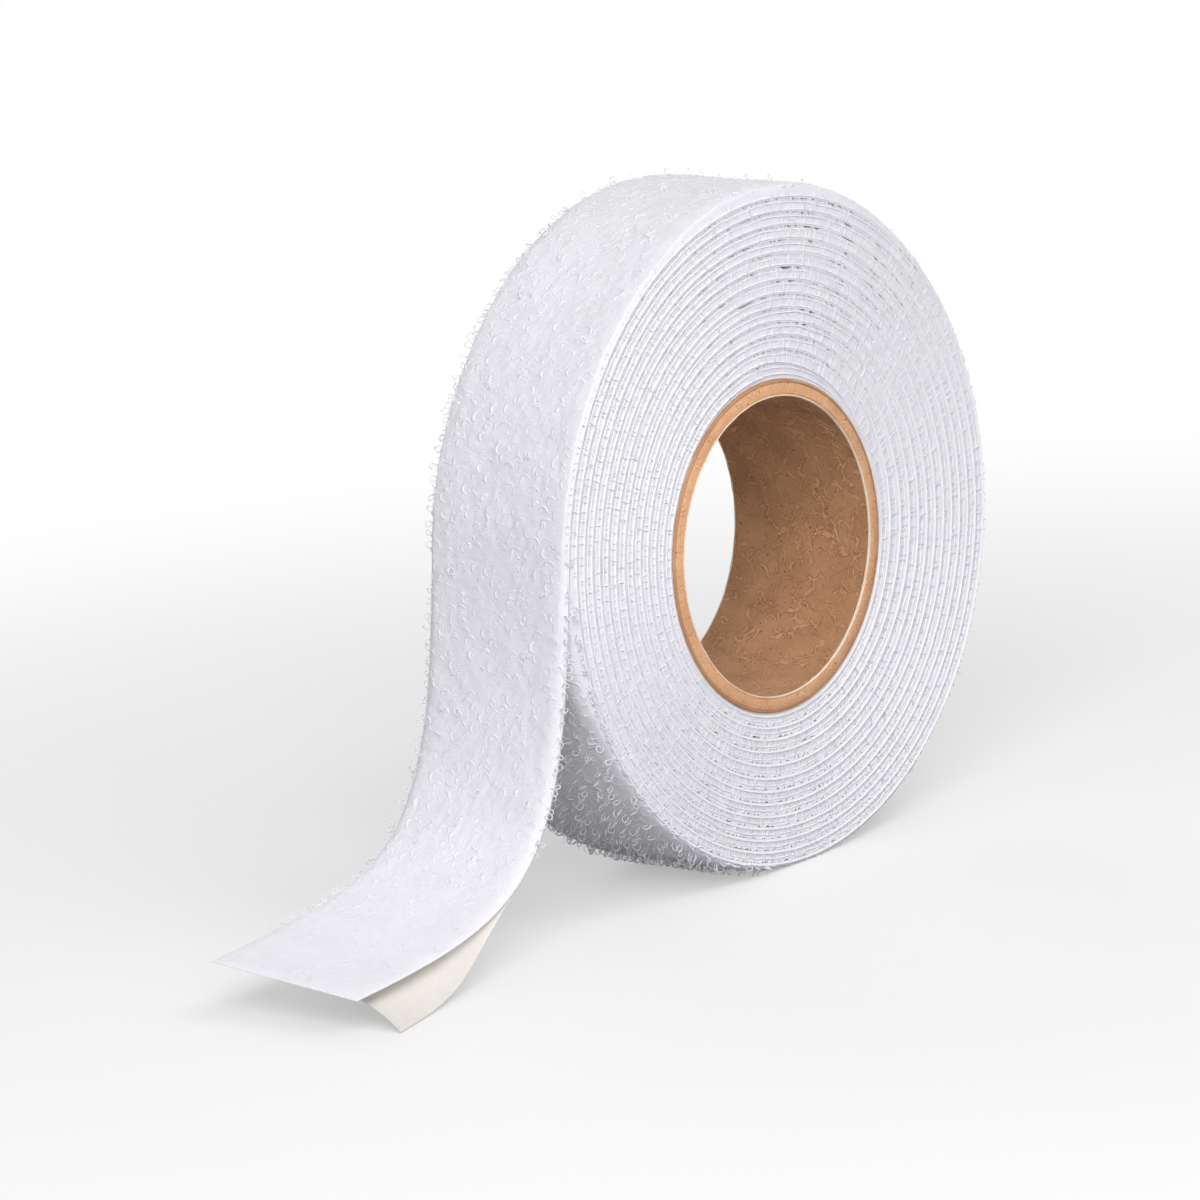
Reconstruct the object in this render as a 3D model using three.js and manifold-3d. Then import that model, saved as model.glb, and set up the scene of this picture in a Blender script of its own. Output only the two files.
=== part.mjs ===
import * as THREE from 'three';
import { mergeVertices } from 'three/addons/utils/BufferGeometryUtils.js';
import Module from 'manifold-3d';

// A roll of self-adhesive loop tape on a cardboard core, standing on its rim with its free end hanging.
// Lengths are in millimetres and angles in degrees, +Z up. The roll's axis runs along Y, its open face
// looks to -Y and the free end hangs to -X. The origin is on the floor, under the core's axis.

// Cardboard core
const CORE_BORE = 44.4;
const INNER_PLY = 0.4;
const CORE_BOARD = 1.6;
const OUTER_PLY = 0.4;
const CORE_PROUD = 0.2;
const CORE_FACETS = 72;

// Tape and its release liner
const TAPE_WIDTH = 25.4;
const TAPE_THICKNESS = 1.22;
const LINER_THICKNESS = 0.12;
const LINER_GAP = 0.12;
const LAY_GAP = 0.43;

// Winding: whole turns, the angles where it starts on the core and leaves the roll, and the slack in it
const WHOLE_TURNS = 13;
const START_ANGLE = 90;
const LEAVE_ANGLE = 172;
const STEPS_PER_TURN = 36;
const FIRST_STEP_RAMP = 60;
const STEP_RAMP_GROWTH = 40;
const SLACK_SHARE = 0.1;
const SLACK_TOWARD = 31;
const FLAT_DEPTH = 0.5;

// Free end of the tape, measured on its front edge
const TAIL_REACH = 50.4;
const TAIL_END_HEIGHT = 5.6;
const TAIL_START_HANDLE = 42;
const TAIL_END_HANDLE = 38.8;
const TAIL_END_SLOPE = 3.5;
const TAIL_TWIST_RISE = 3.3;
const TAIL_END_BIAS = 1.6;
const BEND_LENGTH = 35;
const BUTT_GAP = 0.3;
const TAIL_STEP = 3;
const TAIL_STRIPS = 4;

// Corner of the liner that is peeled off the free end
const PEEL_LENGTH = 46;
const PEEL_END_WIDTH = 9;
const FLAP_REACH = 30;
const FLAP_DRIFT = 1.8;
const FLAP_START_HANDLE = 14;
const FLAP_END_HANDLE = 12;
const FLAP_END_SLOPE = 6;
const FLAP_KINK = 12;
const FLAP_CREST = 0.5;
const FLAP_NARROW_END = 0.08;
const FLAP_STEPS = 14;
const FLAP_STRIPS = 4;
const FLOOR_GAP = 0.1;

const radians = THREE.MathUtils.degToRad;
const halfWidth = TAPE_WIDTH / 2;
const coreRadius = CORE_BORE / 2 + INNER_PLY + CORE_BOARD + OUTER_PLY;
const linerDepth = TAPE_THICKNESS + LINER_GAP;
const layerPitch = linerDepth + LINER_THICKNESS + LAY_GAP;
const woundAngle = 360 * WHOLE_TURNS + LEAVE_ANGLE - START_ANGLE;
const windingSteps = Math.round(woundAngle * STEPS_PER_TURN / 360);

// Layers between the core and the tape's outer face, after the winding has turned through an angle.
// Each turn steps over the inner end, and the step spreads out until the pack is an even spiral.
function layersAt(angle) {
  const turn = Math.floor(angle / 360);
  const ramp = Math.min(360, FIRST_STEP_RAMP + STEP_RAMP_GROWTH * turn);
  const intoRamp = angle - 360 * (turn + 1) + ramp;
  return 1 + turn + Math.max(0, intoRamp) / ramp;
}

// Point of the winding in the plane of the roll, at a depth below the tape's outer face.
// The layers lie looser towards one side, as a roll sags on its core.
function windingPoint(angle, depth, side, axisHeight) {
  const direction = START_ANGLE + angle;
  const slack = 1 + SLACK_SHARE * Math.cos(radians(direction - SLACK_TOWARD));
  const radius = coreRadius + layerPitch * layersAt(angle) * slack - depth;
  return new THREE.Vector3(
    radius * Math.cos(radians(direction)),
    side,
    axisHeight + radius * Math.sin(radians(direction)),
  );
}

function windingAngle(step) {
  return woundAngle * step / windingSteps;
}

// The pack stands on its lowest turn, pressed flat
function lowestOfWinding() {
  let lowest = 0;
  for (let step = 0; step <= windingSteps; step += 1) {
    lowest = Math.min(lowest, windingPoint(windingAngle(step), 0, 0, 0).z);
  }
  return lowest;
}

const axisHeight = -lowestOfWinding() - FLAT_DEPTH;

// Closed body through a row of sections with as many corners each. The corners run anticlockwise,
// seen from the end that the row runs to.
function loft(sections) {
  const corners = sections[0].length;
  const positions = sections.flat().flatMap((point) => point.toArray());
  const index = [];
  for (let row = 0; row < sections.length - 1; row += 1) {
    for (let corner = 0; corner < corners; corner += 1) {
      const here = row * corners + corner;
      const beside = row * corners + (corner + 1) % corners;
      index.push(here, beside, beside + corners);
      index.push(here, beside + corners, here + corners);
    }
  }
  const last = (sections.length - 1) * corners;
  // The caps are strips between the two long sides of a section, so a curved section stays true
  for (let low = 0, high = corners - 1; low + 1 < high; low += 1, high -= 1) {
    index.push(low, high, low + 1);
    index.push(last + low, last + low + 1, last + high);
    if (low + 1 < high - 1) {
      index.push(low + 1, high, high - 1);
      index.push(last + low + 1, last + high - 1, last + high);
    }
  }
  const geometry = new THREE.BufferGeometry();
  geometry.setAttribute('position', new THREE.Float32BufferAttribute(positions, 3));
  geometry.setIndex(index);
  return geometry;
}

const wasm = await Module();
wasm.setup();

function toSolid(geometry) {
  const bare = geometry.clone();
  bare.deleteAttribute('normal');
  bare.deleteAttribute('uv');
  const merged = mergeVertices(bare);
  return new wasm.Manifold(new wasm.Mesh({
    numProp: 3,
    vertProperties: merged.getAttribute('position').array,
    triVerts: Uint32Array.from(merged.getIndex().array),
  }));
}

function toGeometry(solid) {
  const mesh = solid.getMesh();
  const geometry = new THREE.BufferGeometry();
  geometry.setAttribute('position', new THREE.Float32BufferAttribute(mesh.vertProperties, 3));
  geometry.setIndex(Array.from(mesh.triVerts));
  return geometry;
}

// One layer of the winding as an unbroken ribbon, from its inner end to where the free end leaves
function woundRibbon(outerDepth, thickness) {
  const sections = [];
  for (let step = 0; step <= windingSteps; step += 1) {
    const angle = windingAngle(step);
    sections.push([
      windingPoint(angle, outerDepth, -halfWidth, axisHeight),
      windingPoint(angle, outerDepth, halfWidth, axisHeight),
      windingPoint(angle, outerDepth + thickness, halfWidth, axisHeight),
      windingPoint(angle, outerDepth + thickness, -halfWidth, axisHeight),
    ]);
  }
  return loft(sections);
}

// The least distance from the tape's inner face to its outer face one turn further in
function leastGapToItself() {
  let least = Infinity;
  for (let step = STEPS_PER_TURN; step <= windingSteps; step += 1) {
    const inner = windingPoint(windingAngle(step), TAPE_THICKNESS, 0, 0);
    const turnBelow = step - STEPS_PER_TURN;
    for (let near = Math.max(1, turnBelow - 2); near <= turnBelow + 2; near += 1) {
      const from = windingPoint(windingAngle(near - 1), 0, 0, 0);
      const to = windingPoint(windingAngle(near), 0, 0, 0);
      const closest = new THREE.Line3(from, to).closestPointToPoint(inner, true, new THREE.Vector3());
      least = Math.min(least, closest.distanceTo(inner));
    }
  }
  return least;
}

console.log(`least gap of the wound tape to itself: ${leastGapToItself().toFixed(2)} mm`);

function woundTapeGeometry() {
  const ribbon = toSolid(woundRibbon(0, TAPE_THICKNESS));
  const floorSlab = new THREE.BoxGeometry(2 * coreRadius, 2 * TAPE_WIDTH, 2 * coreRadius);
  floorSlab.translate(0, 0, -coreRadius);
  return toGeometry(ribbon.subtract(toSolid(floorSlab)));
}

// A ply of the core is a tube about Y, its profile closed on itself
function plyGeometry(innerRadius, thickness) {
  const end = halfWidth + CORE_PROUD;
  const outerRadius = innerRadius + thickness;
  const profile = [
    new THREE.Vector2(innerRadius, -end),
    new THREE.Vector2(outerRadius, -end),
    new THREE.Vector2(outerRadius, end),
    new THREE.Vector2(innerRadius, end),
    new THREE.Vector2(innerRadius, -end),
  ];
  return new THREE.LatheGeometry(profile, CORE_FACETS);
}

// Front edge of the tape's pile face, from where it leaves the roll down to its end
const leavePoint = windingPoint(woundAngle, 0, -halfWidth, axisHeight);
const leaveDirection = new THREE.Vector3(-Math.sin(radians(LEAVE_ANGLE)), 0, Math.cos(radians(LEAVE_ANGLE)));
const tailEnd = new THREE.Vector3(leavePoint.x - TAIL_REACH, -halfWidth, TAIL_END_HEIGHT);
const tailEndDirection = new THREE.Vector3(-Math.cos(radians(TAIL_END_SLOPE)), 0, -Math.sin(radians(TAIL_END_SLOPE)));
const tailEdge = new THREE.CubicBezierCurve3(
  leavePoint,
  leavePoint.clone().addScaledVector(leaveDirection, TAIL_START_HANDLE),
  tailEnd.clone().addScaledVector(tailEndDirection, -TAIL_END_HANDLE),
  tailEnd,
);
const tailLength = tailEdge.getLength();

// Where the free end is at a length from the roll: its front edge, its way along, its way across
// to the back edge, and the side that its pile faces. It twists, so the back edge ends higher.
function tailFrame(length) {
  const share = length / tailLength;
  const front = tailEdge.getPointAt(share);
  const along = tailEdge.getTangentAt(share);
  const level = new THREE.Vector3(along.z, 0, -along.x);
  const rise = TAIL_TWIST_RISE * THREE.MathUtils.smoothstep(share, 0.2, 0.8);
  const across = new THREE.Vector3(0, TAPE_WIDTH, 0);
  across.addScaledVector(level, rise);
  across.addScaledVector(along, TAIL_END_BIAS * share);
  const pile = new THREE.Vector3().crossVectors(across, along).normalize();
  return { front, along, across, pile };
}

// Point of the free end: a share of the width from the front edge, and a depth below the pile face
function tailPoint(length, widthShare, depth) {
  const frame = tailFrame(length);
  return frame.front.clone().addScaledVector(frame.across, widthShare).addScaledVector(frame.pile, -depth);
}

// Share of the width where the liner parts from the tape, on a straight skew line to the tape's end
function peelShare(length) {
  const alongPeel = Math.max(0, length - PEEL_LENGTH) / (tailLength - PEEL_LENGTH);
  return alongPeel * PEEL_END_WIDTH / TAPE_WIDTH;
}

function evenLengths(from, to) {
  const steps = Math.ceil((to - from) / TAIL_STEP);
  return Array.from({ length: steps + 1 }, (unused, step) => from + (to - from) * step / steps);
}

// The free end is warped, so its faces are cut in strips along it
function tailSection(length, frontShare, outerDepth, thickness) {
  const upper = [];
  const lower = [];
  for (let strip = 0; strip <= TAIL_STRIPS; strip += 1) {
    const widthShare = frontShare + (1 - frontShare) * strip / TAIL_STRIPS;
    upper.push(tailPoint(length, widthShare, outerDepth));
    lower.unshift(tailPoint(length, widthShare, outerDepth + thickness));
  }
  return [...upper, ...lower];
}

function tailRibbon(from, to, outerDepth, thickness, frontShare) {
  return loft(evenLengths(from, to).map(
    (length) => tailSection(length, frontShare(length), outerDepth, thickness),
  ));
}

const tailStart = BUTT_GAP;
const rootEnd = BEND_LENGTH - BUTT_GAP / 2;
const tipStart = BEND_LENGTH + BUTT_GAP / 2;
const fullWidth = () => 0;

// The liner's free edge falls from the peel line's start to a corner that lies just off the floor
const flapStart = tailPoint(PEEL_LENGTH, 0, linerDepth);
const flapCorner = new THREE.Vector3(
  flapStart.x - FLAP_REACH,
  -halfWidth - FLAP_DRIFT,
  FLOOR_GAP + LINER_THICKNESS,
);
const flapCornerDirection = new THREE.Vector3(
  -Math.cos(radians(FLAP_END_SLOPE)),
  0,
  -Math.sin(radians(FLAP_END_SLOPE)),
);
const flapEdge = new THREE.CubicBezierCurve3(
  flapStart,
  flapStart.clone().addScaledVector(tailFrame(PEEL_LENGTH).along, FLAP_START_HANDLE),
  flapCorner.clone().addScaledVector(flapCornerDirection, -FLAP_END_HANDLE),
  flapCorner,
);

// Strip across the flap from its free edge to the peel line, curved over a crest
function flapStrip(share) {
  const length = PEEL_LENGTH + (tailLength - PEEL_LENGTH) * share;
  const frame = tailFrame(length);
  const width = frame.across.length() * peelShare(length);
  const towardFront = frame.across.clone().normalize().negate();
  const peelLine = tailPoint(length, peelShare(length) - BUTT_GAP / TAPE_WIDTH, linerDepth);
  const crest = peelLine.clone().addScaledVector(towardFront, FLAP_CREST * width);
  crest.addScaledVector(frame.pile, -FLAP_CREST * width * Math.tan(radians(FLAP_KINK)));
  return new THREE.QuadraticBezierCurve3(flapEdge.getPoint(share), crest, peelLine);
}

function flapSection(share) {
  const strip = flapStrip(share);
  const along = tailFrame(PEEL_LENGTH + (tailLength - PEEL_LENGTH) * share).along;
  const upper = [];
  const lower = [];
  for (let place = 0; place <= FLAP_STRIPS; place += 1) {
    const point = strip.getPoint(place / FLAP_STRIPS);
    const inward = strip.getTangent(place / FLAP_STRIPS);
    const outward = new THREE.Vector3().crossVectors(inward, along).normalize();
    upper.push(point);
    lower.unshift(point.clone().addScaledVector(outward, -LINER_THICKNESS));
  }
  return [...upper, ...lower];
}

function flapGeometry() {
  const sections = [];
  for (let step = 0; step <= FLAP_STEPS; step += 1) {
    sections.push(flapSection(FLAP_NARROW_END + (1 - FLAP_NARROW_END) * step / FLAP_STEPS));
  }
  return loft(sections);
}

const pileWhite = { color: 0xe9e9f0, roughness: 0.95 };
const linerCream = { color: 0xf0ede4, roughness: 0.55 };

function subPart(name, geometry, look) {
  const mesh = new THREE.Mesh(geometry, new THREE.MeshStandardMaterial({ ...look, metalness: 0 }));
  mesh.name = name;
  return mesh;
}

function ply(name, innerRadius, thickness, color) {
  const mesh = subPart(name, plyGeometry(innerRadius, thickness), { color, roughness: 0.85 });
  mesh.position.z = axisHeight;
  return mesh;
}

function core() {
  const boreRadius = CORE_BORE / 2;
  const group = new THREE.Group();
  group.add(ply('core_inner_ply', boreRadius, INNER_PLY, 0xf3dcc0));
  group.add(ply('core_board', boreRadius + INNER_PLY, CORE_BOARD, 0xc8966e));
  group.add(ply('core_outer_ply', boreRadius + INNER_PLY + CORE_BOARD, OUTER_PLY, 0xbd8a62));
  return group;
}

function winding() {
  const group = new THREE.Group();
  group.add(subPart('wound_loop_tape', woundTapeGeometry(), pileWhite));
  group.add(subPart('wound_release_liner', woundRibbon(linerDepth, LINER_THICKNESS), linerCream));
  return group;
}

function freeEnd() {
  const rootTape = tailRibbon(tailStart, rootEnd, 0, TAPE_THICKNESS, fullWidth);
  const rootLiner = tailRibbon(tailStart, rootEnd, linerDepth, LINER_THICKNESS, fullWidth);
  const tipTape = tailRibbon(tipStart, tailLength, 0, TAPE_THICKNESS, fullWidth);
  const tipLiner = tailRibbon(tipStart, tailLength, linerDepth, LINER_THICKNESS, peelShare);
  const group = new THREE.Group();
  group.add(subPart('tail_tape_root', rootTape, pileWhite));
  group.add(subPart('tail_liner_root', rootLiner, linerCream));
  group.add(subPart('tail_tape_tip', tipTape, pileWhite));
  group.add(subPart('tail_liner_tip', tipLiner, linerCream));
  group.add(subPart('liner_flap', flapGeometry(), linerCream));
  return group;
}

const roll = new THREE.Group();
roll.add(core());
roll.add(winding());
roll.add(freeEnd());

export default roll;
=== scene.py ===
# A roll of white self-adhesive loop tape on a cardboard core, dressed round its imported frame.
# Lengths are in metres and angles in degrees unless a name says otherwise, +Z up. The roll's axis
# runs along Y, its open face looks to -Y and the free end hangs to -X.

import math

import bpy
import numpy as np
from mathutils import Matrix, Vector


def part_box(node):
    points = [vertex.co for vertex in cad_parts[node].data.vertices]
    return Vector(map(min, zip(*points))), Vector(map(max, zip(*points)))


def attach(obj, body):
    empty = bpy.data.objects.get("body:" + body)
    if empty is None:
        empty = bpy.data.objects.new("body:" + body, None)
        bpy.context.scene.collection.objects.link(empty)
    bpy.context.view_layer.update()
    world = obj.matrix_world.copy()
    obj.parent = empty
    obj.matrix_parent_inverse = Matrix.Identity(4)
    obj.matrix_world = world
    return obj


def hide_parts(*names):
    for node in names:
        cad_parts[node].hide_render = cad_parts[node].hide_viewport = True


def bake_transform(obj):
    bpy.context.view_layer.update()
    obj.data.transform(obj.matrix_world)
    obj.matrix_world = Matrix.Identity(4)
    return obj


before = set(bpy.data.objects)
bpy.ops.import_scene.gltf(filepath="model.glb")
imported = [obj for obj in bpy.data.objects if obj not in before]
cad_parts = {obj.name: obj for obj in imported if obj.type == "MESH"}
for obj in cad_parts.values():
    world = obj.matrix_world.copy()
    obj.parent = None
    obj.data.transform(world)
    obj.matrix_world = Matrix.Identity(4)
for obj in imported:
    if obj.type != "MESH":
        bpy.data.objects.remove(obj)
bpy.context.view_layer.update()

MM = 0.001
ACROSS = np.array([0.0, 1, 0])

# Tape and its release liner
TAPE_WIDTH = 25.4 * MM
TAPE_THICKNESS = 1.22 * MM
LINER_THICKNESS = 0.12 * MM
LINER_GAP = 0.12 * MM
LAY_GAP = 0.43 * MM
CLOTH_THICKNESS = 0.2 * MM
HALF_WIDTH = TAPE_WIDTH / 2
LINER_DEPTH = TAPE_THICKNESS + LINER_GAP
TAPE_AND_LINER = LINER_DEPTH + LINER_THICKNESS
CLOTH_DEPTH = TAPE_THICKNESS - CLOTH_THICKNESS

# Winding, as the frame has it
WHOLE_TURNS = 13
START_ANGLE = 90
LEAVE_ANGLE = 172
FIRST_STEP_RAMP = 60
STEP_RAMP_GROWTH = 40
SLACK_SHARE = 0.1
SLACK_TOWARD = 31
WOUND_ANGLE = 360 * WHOLE_TURNS + LEAVE_ANGLE - START_ANGLE
INNER_TURNS = WOUND_ANGLE - 360

# Free end, as the frame has it
TAIL_REACH = 50.4 * MM
TAIL_END_HEIGHT = 5.6 * MM
TAIL_START_HANDLE = 42 * MM
TAIL_END_HANDLE = 38.8 * MM
TAIL_END_SLOPE = 3.5
TAIL_TWIST_RISE = 3.3 * MM
TAIL_TWIST_SPAN = (0.2, 0.8)
TAIL_END_BIAS = 1.6 * MM

# Stretches of the free end, as lengths from the roll
LIFT_BEND_END = 16 * MM
UPPER_END = 20 * MM
CURL_BEND_START = 27 * MM
CURL_BEND_END = 43 * MM
LINER_TIP_START = 44 * MM
PEEL_BEND_WIDTH = 1.5 * MM

core_low, core_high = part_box("core_outer_ply")
AXIS_HEIGHT = (core_low.z + core_high.z) / 2
CORE_RADIUS = (core_high.x - core_low.x) / 2


# Shapes along the tape

def unit(vectors):
    return vectors / np.linalg.norm(vectors, axis=-1, keepdims=True)


def smooth(value, low, high):
    share = np.clip((value - low) / (high - low), 0, 1)
    return share * share * (3 - 2 * share)


def cubic(points, t):
    a, b, c, d = points
    t = np.asarray(t, float)[..., None]
    return a * (1 - t) ** 3 + 3 * b * t * (1 - t) ** 2 + 3 * c * t ** 2 * (1 - t) + d * t ** 3


def cubic_slope(points, t):
    a, b, c, d = points
    t = np.asarray(t, float)[..., None]
    return 3 * (b - a) * (1 - t) ** 2 + 6 * (c - b) * t * (1 - t) + 3 * (d - c) * t ** 2


def lengths_along(points):
    """Length of the line through points, up to each of them."""
    steps = np.linalg.norm(np.diff(points, axis=0), axis=1)
    return np.concatenate([[0], np.cumsum(steps)])


def polar(radius, direction, side):
    """Points round the roll's axis, with the direction in radians and the place across the tape."""
    height = AXIS_HEIGHT + radius * np.sin(direction)
    return np.stack(np.broadcast_arrays(radius * np.cos(direction), side, height), -1)


def layers_at(angle):
    """Layers between the core and the tape's outer face after the winding has turned through an angle."""
    turn = np.floor(angle / 360)
    ramp = np.minimum(360, FIRST_STEP_RAMP + STEP_RAMP_GROWTH * turn)
    into_ramp = angle - 360 * (turn + 1) + ramp
    return 1 + turn + np.maximum(0, into_ramp) / ramp


def outer_radius(angle):
    direction = np.radians(START_ANGLE + angle)
    slack = 1 + SLACK_SHARE * np.cos(direction - math.radians(SLACK_TOWARD))
    return CORE_RADIUS + (TAPE_AND_LINER + LAY_GAP) * layers_at(angle) * slack


def winding_point(angle, depth, side):
    """Points of the winding at a depth below the pile face and a place across the tape."""
    return polar(outer_radius(angle) - depth, np.radians(START_ANGLE + angle), side)


leave_turn = math.radians(LEAVE_ANGLE)
end_slope = math.radians(TAIL_END_SLOPE)
leave_point = winding_point(float(WOUND_ANGLE), 0, -HALF_WIDTH)
leave_way = np.array([-math.sin(leave_turn), 0, math.cos(leave_turn)])
tail_end = np.array([leave_point[0] - TAIL_REACH, -HALF_WIDTH, TAIL_END_HEIGHT])
tail_end_way = np.array([-math.cos(end_slope), 0, -math.sin(end_slope)])
tail_edge = (
    leave_point,
    leave_point + TAIL_START_HANDLE * leave_way,
    tail_end - TAIL_END_HANDLE * tail_end_way,
    tail_end,
)
edge_places = np.linspace(0, 1, 801)
edge_lengths = lengths_along(cubic(tail_edge, edge_places))
TAIL_LENGTH = float(edge_lengths[-1])

turn_angles = np.linspace(WOUND_ANGLE - 400, WOUND_ANGLE, 2001)
turn_lengths = lengths_along(winding_point(turn_angles, 0, 0))
turn_lengths -= turn_lengths[-1]
OUTER_TURN = float(-np.interp(INNER_TURNS, turn_angles, turn_lengths))


def tail_surface(length, side):
    """Pile face of the free end: points, way along, way across and way out, at lengths from the roll."""
    length = np.clip(length, 0, TAIL_LENGTH)
    share = length / TAIL_LENGTH
    place = np.interp(length, edge_lengths, edge_places)
    along = unit(cubic_slope(tail_edge, place))
    level = np.stack([along[..., 2], 0 * along[..., 0], -along[..., 0]], -1)
    rise = TAIL_TWIST_RISE * smooth(share, *TAIL_TWIST_SPAN)
    across = TAPE_WIDTH * ACROSS + level * rise[..., None] + along * (TAIL_END_BIAS * share)[..., None]
    width_share = ((side + HALF_WIDTH) / TAPE_WIDTH)[..., None]
    point = cubic(tail_edge, place) + across * width_share
    return point, along, unit(across), unit(np.cross(across, along))


def turn_angle(length):
    """Angle of the winding at a length before the tape leaves the roll, which is below zero."""
    return np.interp(np.minimum(length, 0), turn_lengths, turn_angles)


def roll_surface(length, side):
    """As tail_surface, for the last turn on the roll, at lengths below zero."""
    angle = turn_angle(length)
    direction = np.radians(START_ANGLE + angle)
    zero = 0 * direction
    out = np.stack([np.cos(direction), zero, np.sin(direction)], -1)
    along = np.stack([-np.sin(direction), zero, np.cos(direction)], -1)
    return winding_point(angle, 0, side), along, np.broadcast_to(ACROSS, along.shape), out


def surface(length, side):
    """The tape's pile face from a turn before it leaves the roll to its end."""
    length, side = np.broadcast_arrays(np.asarray(length, float), np.asarray(side, float))
    on_the_roll = (length < 0)[..., None]
    pairs = zip(roll_surface(length, side), tail_surface(length, side))
    return [np.where(on_the_roll, rolled, free) for rolled, free in pairs]


def lattice_noise(x, y, cell, seed):
    """Smooth noise from -1 to 1, with a random value at every cell's corner."""
    columns, rows = 509, 251
    table = np.random.default_rng(seed).uniform(-1, 1, (columns, rows))
    x, y = np.broadcast_arrays(np.asarray(x, float) / cell, np.asarray(y, float) / cell)
    column = np.floor(x).astype(int)
    row = np.floor(y).astype(int)
    right = smooth(x - column, 0, 1)
    up = smooth(y - row, 0, 1)

    def level(step_up):
        line = (row + step_up) % rows
        return table[column % columns, line] * (1 - right) + table[(column + 1) % columns, line] * right

    return level(0) * (1 - up) + level(1) * up


# Mesh making

BAKE_MAP = "OFBake"
BAND_LENGTH = 60 * MM
BAND_INSET = 0.06
END_SHARE = 0.45
TUBE_CELL_SHAPE = 6
TUBE_SCALE = (0.88, 1.8)
TUBE_START = (0.06, 0.02)
TUBE_END_SCALE = (0.08, 0.9)
TUBE_LAST_END = (0.96, 0)
FLOOR_CLEAR = 0.02 * MM
SHEET_SHARP = 40
CORE_SHARP = 50
PILE_SHARP = 60


def mesh_piece(name, points, triangles, material, sharp_over=None, places=None):
    """A mesh object. Places are its triangles' corners on a map for baking the material."""
    mesh = bpy.data.meshes.new(name)
    points = np.asarray(points, np.float32).reshape(-1, 3)
    triangles = np.asarray(triangles, np.int32).reshape(-1, 3)
    mesh.vertices.add(len(points))
    mesh.vertices.foreach_set("co", points.ravel())
    mesh.loops.add(triangles.size)
    mesh.loops.foreach_set("vertex_index", triangles.ravel())
    mesh.polygons.add(len(triangles))
    mesh.polygons.foreach_set("loop_start", np.arange(0, triangles.size, 3, dtype=np.int32))
    mesh.update(calc_edges=True)
    mesh.shade_smooth()
    if sharp_over is not None:
        mesh.set_sharp_from_angle(angle=math.radians(sharp_over))
    if places is not None:
        layer = mesh.uv_layers.new(name=BAKE_MAP)
        layer.data.foreach_set("uv", np.asarray(places, np.float32).ravel())
    mesh.materials.append(material)
    piece = bpy.data.objects.new(name, mesh)
    bpy.context.scene.collection.objects.link(piece)
    return piece


def strip_triangles(rows, corners):
    """Triangles between rows of corners, the last corner joined to the first."""
    start = np.arange(rows - 1)[:, None] * corners
    here = start + np.arange(corners)
    beside = start + (np.arange(corners) + 1) % corners
    first = np.stack([here, beside, beside + corners], -1).reshape(-1, 3)
    second = np.stack([here, beside + corners, here + corners], -1).reshape(-1, 3)
    return np.concatenate([first, second])


def strip_places(rows, corners, bands):
    """Map of strip_triangles: the rows run along bands, one above the other, under a free one."""
    row, corner = np.meshgrid(np.arange(rows - 1), np.arange(corners), indexing="ij")
    in_band = math.ceil((rows - 1) / bands)
    band = row // in_band

    def place(row_step, corner_step):
        along = (row + row_step - band * in_band) / in_band
        inside = BAND_INSET + (1 - 2 * BAND_INSET) * (corner + corner_step) / corners
        return np.stack([along, (band + inside) / (bands + 1)], -1).reshape(-1, 2)

    first = np.stack([place(0, 0), place(0, 1), place(1, 1)], 1)
    second = np.stack([place(0, 0), place(1, 1), place(1, 0)], 1)
    return np.concatenate([first, second])


def end_places(triangles, corners, bands, left):
    """Map of an end face's triangles: half of the free band."""
    half = corners / 2
    far = triangles >= half
    along = np.where(far, corners - 1 - triangles, triangles) / half
    up = np.where(far, 1 - BAND_INSET, BAND_INSET)
    return np.stack([left + END_SHARE * along, (bands + up) / (bands + 1)], -1)


def band_count(sections):
    """Bands that a strip's map needs for its length."""
    return max(1, round(float(lengths_along(sections[:, 0])[-1]) / BAND_LENGTH))


def cap_triangles(corners):
    """Strip of triangles between the two long sides of a section."""
    found = []
    for low in range(corners // 2 - 1):
        high = corners - 1 - low
        found += [(low, high, low + 1), (low + 1, high, high - 1)]
    return np.array(found)


def loft(name, sections, material, sharp_over, cap=None):
    """Closed body through sections, whose corners run anticlockwise seen from the last one."""
    rows, corners, _ = sections.shape
    cap = cap_triangles(corners) if cap is None else cap
    last_cap = cap[:, ::-1]
    bands = band_count(sections)
    triangles = [strip_triangles(rows, corners), cap, last_cap + (rows - 1) * corners]
    triangles = np.concatenate(triangles)
    places = [strip_places(rows, corners, bands)]
    places += [end_places(cap, corners, bands, 0), end_places(last_cap, corners, bands, 0.5)]
    return mesh_piece(name, sections, triangles, material, sharp_over, np.concatenate(places))


def sheet_piece(name, top, bottom, material):
    """Closed thin body between the rows of its two faces."""
    return loft(name, np.concatenate([top, bottom[:, ::-1]], 1), material, SHEET_SHARP)


def ring_piece(name, sections, material, sharp_over):
    """Closed body through sections that come round to the first one again."""
    rows, corners, _ = sections.shape
    triangles = strip_triangles(rows + 1, corners) % (rows * corners)
    places = strip_places(rows + 1, corners, band_count(sections))
    return mesh_piece(name, sections, triangles, material, sharp_over, places)


def tube_places(count, steps, sides, fan):
    """Map of tubes: a cell for each, its length along the cell."""
    columns = max(1, round(math.sqrt(count / TUBE_CELL_SHAPE)))
    lines = math.ceil(count / columns)
    side = strip_places(steps, sides, 1) * TUBE_SCALE + TUBE_START
    end = end_places(fan, sides, 0, 0) * TUBE_END_SCALE
    one = np.concatenate([side, end, end[:, ::-1] + TUBE_LAST_END])
    number = np.arange(count)
    corner = np.stack([number % columns, number // columns], -1)
    return ((one[None] + corner[:, None, None]) / (columns, lines)).reshape(-1, 3, 2)


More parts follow.
